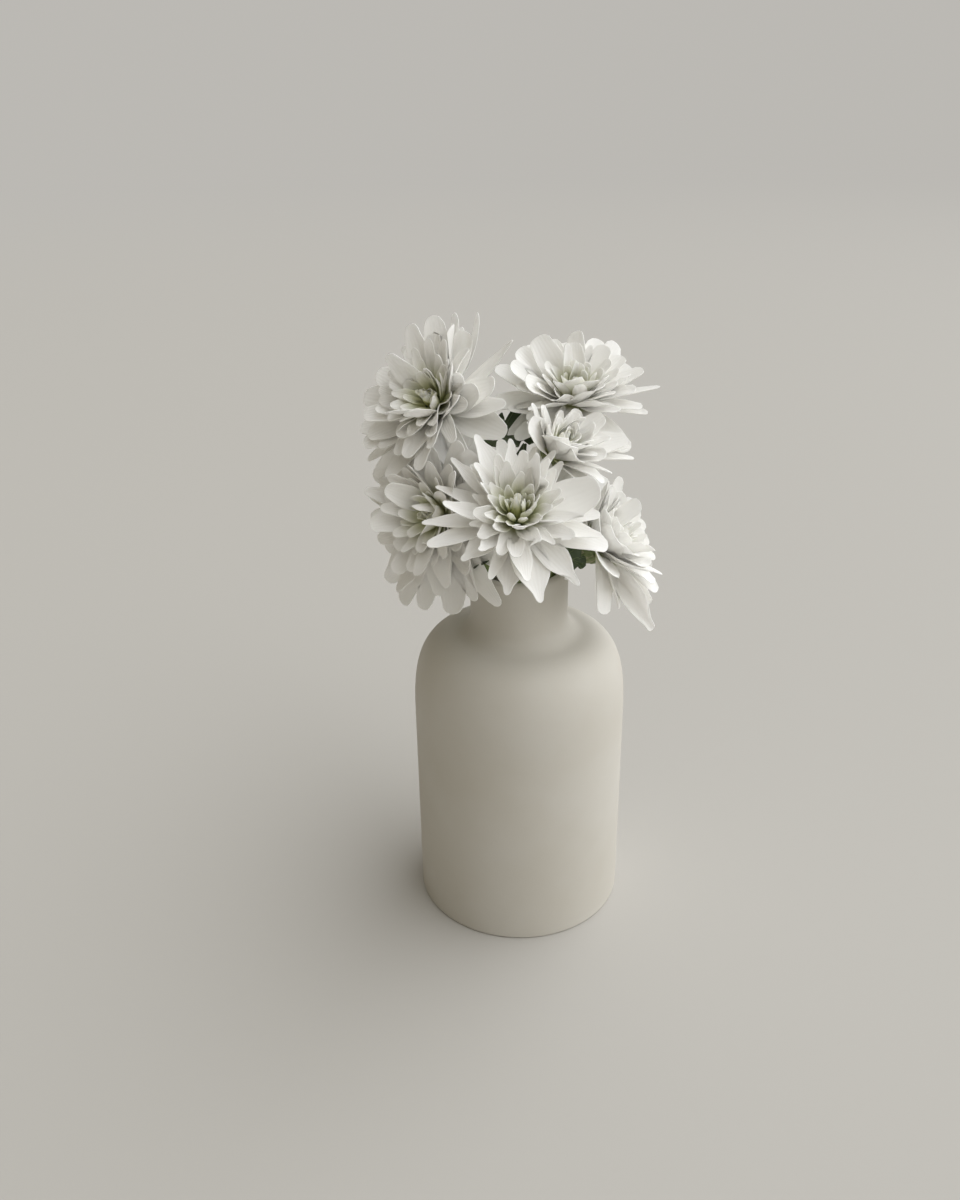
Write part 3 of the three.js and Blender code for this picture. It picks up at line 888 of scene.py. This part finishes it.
PETAL_CELLS = (6, 10)  # across and along
PETAL_THICKNESS = 0.0003
PETAL_LENGTH = 0.034
PETAL_WEIGHT = math.radians(16)  # the bend of a long petal that lies level
PETAL_WHITE = (0.975, 0.966, 0.935, 1)
PETAL_SHADE = (0.965, 0.95, 0.9, 1)
# The petals' feet are green, the flower's own colour. This green also paints the shade in the
# hollow round the heart: it reaches further up the inner petals and darkens them there.
PETAL_GREEN_AND_SHADE = (0.57, 0.59, 0.31, 1)
GREEN_AND_SHADE_REACH = (0.22, 1.2)  # how far up a petal the green and its painted shade go, on the outer and innermost ones
SHADED_GREENER_FROM = 0.4  # the share inwards from which they go further up

# What changes from the outermost petal to the innermost, as (outermost, innermost). A petal
# may be pressed open by its neighbours by no more than "opens" degrees.
BLOOM_FORMS = {
    "star": {
        "petals": 86, "lift": (-8, 66), "curl": (4, 22), "length": (0.034, 0.012),
        "width": (0.0128, 0.0048), "cup": (0.36, 0.8), "taper": 0.5, "point": 0.16,
        "opens": 23,
    },
    "loose": {
        "petals": 88, "lift": (-6, 58), "curl": (6, 14), "length": (0.034, 0.0115),
        "width": (0.0142, 0.0056), "cup": (0.26, 0.75), "taper": 0.36, "point": 0.13,
        "opens": 20,
    },
    "cupped": {
        "petals": 84, "lift": (4, 68), "curl": (14, 24), "length": (0.034, 0.012),
        "width": (0.0148, 0.0052), "cup": (0.34, 0.8), "taper": 0.3, "point": 0.12,
        "opens": 17,
    },
    "half_open": {
        "petals": 50, "lift": (44, 74), "curl": (-4, 18), "length": (0.029, 0.0125),
        "width": (0.0165, 0.0062), "cup": (0.55, 0.8), "taper": 0.33, "point": 0.13,
        "opens": 4,
    },
    "closing": {
        "petals": 54, "lift": (22, 70), "curl": (6, 22), "length": (0.031, 0.012),
        "width": (0.018, 0.006), "cup": (0.45, 0.8), "taper": 0.3, "point": 0.12,
        "opens": 4,
    },
}
BLOOMS = {  # each one's form, and the seed of its petals' small differences
    "front_bloom": ("star", 11),
    "right_small_bloom": ("half_open", 12),
    "upper_left_bloom": ("loose", 13),
    "upper_right_bloom": ("cupped", 14),
    "lower_left_bloom": ("loose", 15),
    "lower_right_bloom": ("closing", 5),
}
# The petals that give each bloom its own outline, as (azimuth, lift, curl, length, width) in
# degrees and millimetres. The azimuth starts straight down the face of the bloom. Some have
# three more numbers: the roll in degrees of one that is turned on its side, and the cup and
# taper of one that is broad and round or folded like a boat. Most azimuths and lengths were
# solved for by a program, from where a tip should lie, and some then rounded or moved.
LEADING_PETALS = {
    "front_bloom": [
        (352, 2, 0, 30, 14, 0, 0.4, 0.7), (12, 2, 0, 33, 16, 0, 0.45, 0.7),
        (38, 4, 0, 33, 12, 0, 0.5, 0.7), (68, 3, 0, 33, 15, 0, 0.4, 0.3),
        (100, 20, 0, 31, 19, 0, 0.4, 0.25), (312, 6, 0, 25, 11), (338, 8, 0, 26, 6),
        (290, 4, 0, 33, 10), (275, 6, 0, 33, 8), (248, 8, 0, 30, 8), (230, 20, 0, 31, 7),
        (190, 16, 0, 30, 13), (290, 28, 0, 17, 8), (252, 30, 0, 16, 7),
    ],
    "right_small_bloom": [
        (256, 54, 14, 22, 17, 0, 0.6, 0.3), (280, 55, 14, 23, 18, 0, 0.6, 0.3),
        (304, 55, 14, 23, 18, 0, 0.6, 0.3), (328, 53, 14, 22, 17, 0, 0.6, 0.3),
        (350, 22, 0, 24, 14), (228, 34, 0, 21, 9), (205, 40, 0, 26, 7), (190, 44, 0, 21, 7),
        (176, 34, 0, 21, 8), (155, 55, 0, 18, 6), (122, 45, 0, 23, 10),
        (92, 45, 0, 29, 15), (58, 42, 0, 35, 17), (60, 26, 0, 36, 6), (50, 26, 0, 38, 6),
        (22, 30, 0, 28, 8),
    ],
    "upper_left_bloom": [
        (182, 0, 50, 33, 5), (160, 0, 50, 37, 5), (172, 0, 50, 28, 8), (198, 0, 50, 26, 9),
        (134, 0, 30, 38, 6), (229, 10, 40, 25, 8), (264, 20, 30, 25, 14), (284, 20, 0, 28, 15),
        (304, 8, 0, 31, 15), (323, 0, 0, 33, 14), (337, 2, 0, 34, 10), (356, 2, 0, 33, 14),
        (12, 0, 0, 28, 14), (82, 2, 0, 35, 15), (108, 14, 0, 29, 13),
    ],
    "upper_right_bloom": [
        (262, 0, 0, 31, 14), (280, 0, 0, 26, 14), (290, -16, 0, 29, 14), (228, 30, 0, 29, 14),
        (240, 14, 0, 33, 15), (252, 28, 0, 29, 14), (215, 45, 0, 28, 14),
        (170, 45, 0, 22, 12), (148, 45, 0, 22, 5), (130, 44, 0, 24, 12), (115, 30, 0, 26, 12),
        (88, 30, 0, 29, 12), (82, 15, 0, 34, 5), (52, 15, 0, 30, 6), (335, 64, 0, 18, 12),
        (15, 62, 0, 18, 12), (285, -20, 0, 28, 13), (300, -10, 0, 29, 12),
    ],
    "lower_left_bloom": [
        (40, 0, 0, 33, 12), (50, 0, 0, 40, 10), (25, 0, 0, 36, 13), (358, 0, 0, 35, 12),
        (342, 0, 0, 38, 13), (325, 0, 0, 36, 13), (312, 12, 0, 25, 13), (285, 5, 0, 31, 14),
        (265, 5, 0, 29, 14),
    ],
    "lower_right_bloom": [
        (95, 25, 0, 33, 13), (83, 25, 0, 30, 14, 25, 0.5, 0.3), (71, 20, 0, 29, 15, 35, 0.5, 0.3),
        (60, 12, 0, 31, 15, 40, 0.5, 0.3), (48, 12, 0, 32, 15, 45, 0.5, 0.3),
        (32, 14, 0, 30, 16, 50, 0.5, 0.3), (20, 25, 0, 31, 7), (356, -4, 0, 41, 18, 60, 1.7, 0.6),
        (8, 4, 0, 33, 14, 50, 1.6, 0.5), (310, -20, 0, 27, 13), (332, -12, 0, 24, 13),
    ],
}
LEADER_SPACE = math.radians(15)  # which a leading petal keeps clear, in azimuth and in lift
LEADER_INWARDS = 1.25  # the power that turns a leading petal's lift into its share inwards
AZIMUTH_SPREAD = 8  # degrees that a petal may stand off its place in the spiral
WHORL_STARTS = {"outer": 0, "middle": 0.38, "inner": 0.74}  # shares of the petals
SETTLE_CHANGES = (0, 4, -4, 8, -8, 12, -12, 17, -17, 23, -23, 30)  # in degrees
SETTLE_COST = 0.15  # how many cuts a degree of change has to save
CROWDED_FOOT = 0.3  # the share of a petal's length that may cut into its neighbours


def droop(petal, bloom):
    """How far a petal bends away from its bloom's axis under its own weight."""
    place = bloom_places[bloom].normalized()
    outward = place.col[0].z * math.cos(petal["azimuth"])
    level = math.cos(petal["lift"]) * place.col[2].z - math.sin(petal["lift"]) * outward
    return PETAL_WEIGHT * level * petal["length"] / PETAL_LENGTH


def new_petal(form, share, chance):
    """A petal of a bloom at its share of the way in, each one a little different."""
    cup = between(form["cup"], share)
    return {
        "share": share,
        "azimuth": 0,
        "root": between((0.0062, 0.0042), share),
        "height": between((0.0006, 0.0056), share),
        "lift": math.radians(between(form["lift"], share**0.8) + chance.gauss(0, 6)),
        "curl": math.radians(between(form["curl"], share) + chance.gauss(0, 7)),
        "hook": math.radians(chance.gauss(0, 14)),
        "length": between(form["length"], share**1.45) * chance.uniform(0.82, 1.07),
        "width": between(form["width"], share) * chance.uniform(0.75, 1.2),
        "claw": 0.68,
        "taper": form["taper"] * chance.uniform(0.7, 1.25),
        "point": form["point"] * chance.uniform(0.75, 1.25),
        "cup": cup * chance.uniform(1.1, 1.9),
        "cup_at_tip": cup * chance.uniform(0.5, 1.2),
        "ruffle": chance.gauss(0, 0.06),
        "phase": chance.uniform(0, 2 * math.pi),
        "roll": math.radians(chance.gauss(0, 10)),
        "twist": math.radians(chance.gauss(0, 16)),
        "sway": chance.gauss(0, 0.05),
        "tint": chance.random(),
    }


def leading_petals(name, form, chance):
    """The petals that are placed one by one to give a bloom its outline."""
    for azimuth, lift, curl, length, width, *fold in LEADING_PETALS[name]:
        depth = (lift - form["lift"][0]) / (form["lift"][1] - form["lift"][0])
        petal = new_petal(form, max(depth, 0) ** LEADER_INWARDS, chance)
        petal["azimuth"] = math.radians(azimuth)
        petal["lift"] = math.radians(lift)
        petal["curl"] = math.radians(curl)
        petal["length"] = length / 1000
        petal["width"] = width / 1000
        petal["sway"] = 0
        if fold:
            petal["roll"] = math.radians(fold[0])
            petal["cup"] = petal["cup_at_tip"] = fold[1]
            petal["taper"] = fold[2]
        yield petal


def stands_in_for(leader, petal):
    """Whether a leading petal holds the place of one of the spiral's."""
    turn = (leader["azimuth"] - petal["azimuth"] + math.pi) % (2 * math.pi) - math.pi
    return abs(turn) < LEADER_SPACE and abs(leader["lift"] - petal["lift"]) < LEADER_SPACE


def spiral_petals(name, form, leaders, chance):
    """The petals between the leading ones, in a spiral from the back of a bloom to its heart."""
    for i in range(form["petals"]):
        petal = new_petal(form, i / (form["petals"] - 1), chance)
        stray = chance.uniform(-AZIMUTH_SPREAD, AZIMUTH_SPREAD)
        petal["azimuth"] = i * GOLDEN_TURN + math.radians(stray)
        petal["curl"] -= droop(petal, name)
        if not any(stands_in_for(leader, petal) for leader in leaders):
            yield petal


class Crowd:
    """The blades placed so far, to ask how much a new one would cut into."""

    def __init__(self):
        self.middles = np.zeros((0, 3))
        self.radii = np.zeros(0)
        self.trees = []

    def add(self, points, tree):
        middle = points.mean(axis=0)
        self.middles = np.vstack([self.middles, middle])
        self.radii = np.append(self.radii, np.linalg.norm(points - middle, axis=1).max())
        self.trees.append(tree)

    def cuts(self, points, tree):
        middle = points.mean(axis=0)
        radius = np.linalg.norm(points - middle, axis=1).max()
        apart = np.linalg.norm(self.middles - middle, axis=1)
        near = np.nonzero(apart < self.radii + radius)[0]
        return sum(len(tree.overlap(self.trees[i])) for i in near)


petal_template = blade_template(PETAL_CELLS)
_, petal_along, petal_faces = petal_template
free_faces = [f for f in petal_faces if min(petal_along[i] for i in f) > CROWDED_FOOT]


def settle_petal(petal, bloom, changes):
    """Lifts or lowers a petal, as its neighbours would, to where it cuts into them least."""
    best = None
    for change in changes:
        tried = {**petal, "lift": petal["lift"] + math.radians(change)}
        points = placed_points(tried, bloom, petal_template)
        tree = BVHTree.FromPolygons([Vector(p) for p in points], free_faces)
        cuts = crowd.cuts(points, tree)
        cost = cuts + SETTLE_COST * abs(change)
        if best is None or cost < best[0]:
            best = (cost, tried, points, tree)
        if cuts == 0:
            break
    _, settled, points, tree = best
    crowd.add(points, tree)
    whorl = [name for name, start in WHORL_STARTS.items() if petal["share"] >= start][-1]
    settled_petals[bloom, whorl].append(settled)


petal_material, tree, shader = new_material(
    "petal_white",
    Roughness=0.6,
    Subsurface_Weight=0.6,
    Subsurface_Scale=0.0015,
    Subsurface_Radius=(1, 1, 1),
    Specular_IOR_Level=0.25,
)
on_petal, _, along, inwards = blade_place(tree)
petal_tint = add_node(tree, "ShaderNodeAttribute", attribute_name="tint").outputs["Fac"]
petal_place = object_place(tree)
petal_flesh = add_mottle(tree, petal_place, scale=120.0, light=PETAL_WHITE, dark=PETAL_SHADE)
white = mix_colours(tree, petal_tint, petal_flesh, PETAL_SHADE)
# Painted shade round the heart: the green at the petals' feet reaches further up the inner ones.
green_and_shade_reach = map_range(tree, inwards, SHADED_GREENER_FROM, 1.0, *GREEN_AND_SHADE_REACH)
greenness_and_shade = map_range(tree, along, green_and_shade_reach, 0.0, interpolation_type="SMOOTHSTEP")
petal_colour = mix_colours(tree, greenness_and_shade, white, PETAL_GREEN_AND_SHADE)
tree.links.new(petal_colour, shader.inputs["Base Color"])
add_lines(tree, shader, on_petal, lines=22.0, strength=0.2)

crowd = Crowd()
for name in ["vase"] + LEAF_NAMES:
    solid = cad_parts[name].data
    corners = [v.co for v in solid.vertices]
    faces = [list(p.vertices) for p in solid.polygons]
    crowd.add(np.array(corners), BVHTree.FromPolygons(corners, faces))

settled_petals = {(bloom, whorl): [] for bloom in BLOOMS for whorl in WHORL_STARTS}
loose_petals = []
for bloom, (form_name, seed) in BLOOMS.items():
    form = BLOOM_FORMS[form_name]
    chance = random.Random(seed)
    leaders = list(leading_petals(bloom, form, chance))
    for petal in leaders:
        settle_petal(petal, bloom, [0])
    loose_petals += [(petal, bloom) for petal in spiral_petals(bloom, form, leaders, chance)]
for petal, bloom in sorted(loose_petals, key=lambda item: -item[0]["share"]):
    opens = BLOOM_FORMS[BLOOMS[bloom][0]]["opens"]
    settle_petal(petal, bloom, [change for change in SETTLE_CHANGES if change >= -opens])

for (bloom, whorl), petals in settled_petals.items():
    shape = blades_shape(petals, bloom, PETAL_CELLS, PETAL_THICKNESS)
    piece = new_piece(f"{bloom}_{whorl}_white_petals", shape, petal_material)
    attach(piece, "root")
    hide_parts(f"{bloom}_{whorl}_petals")
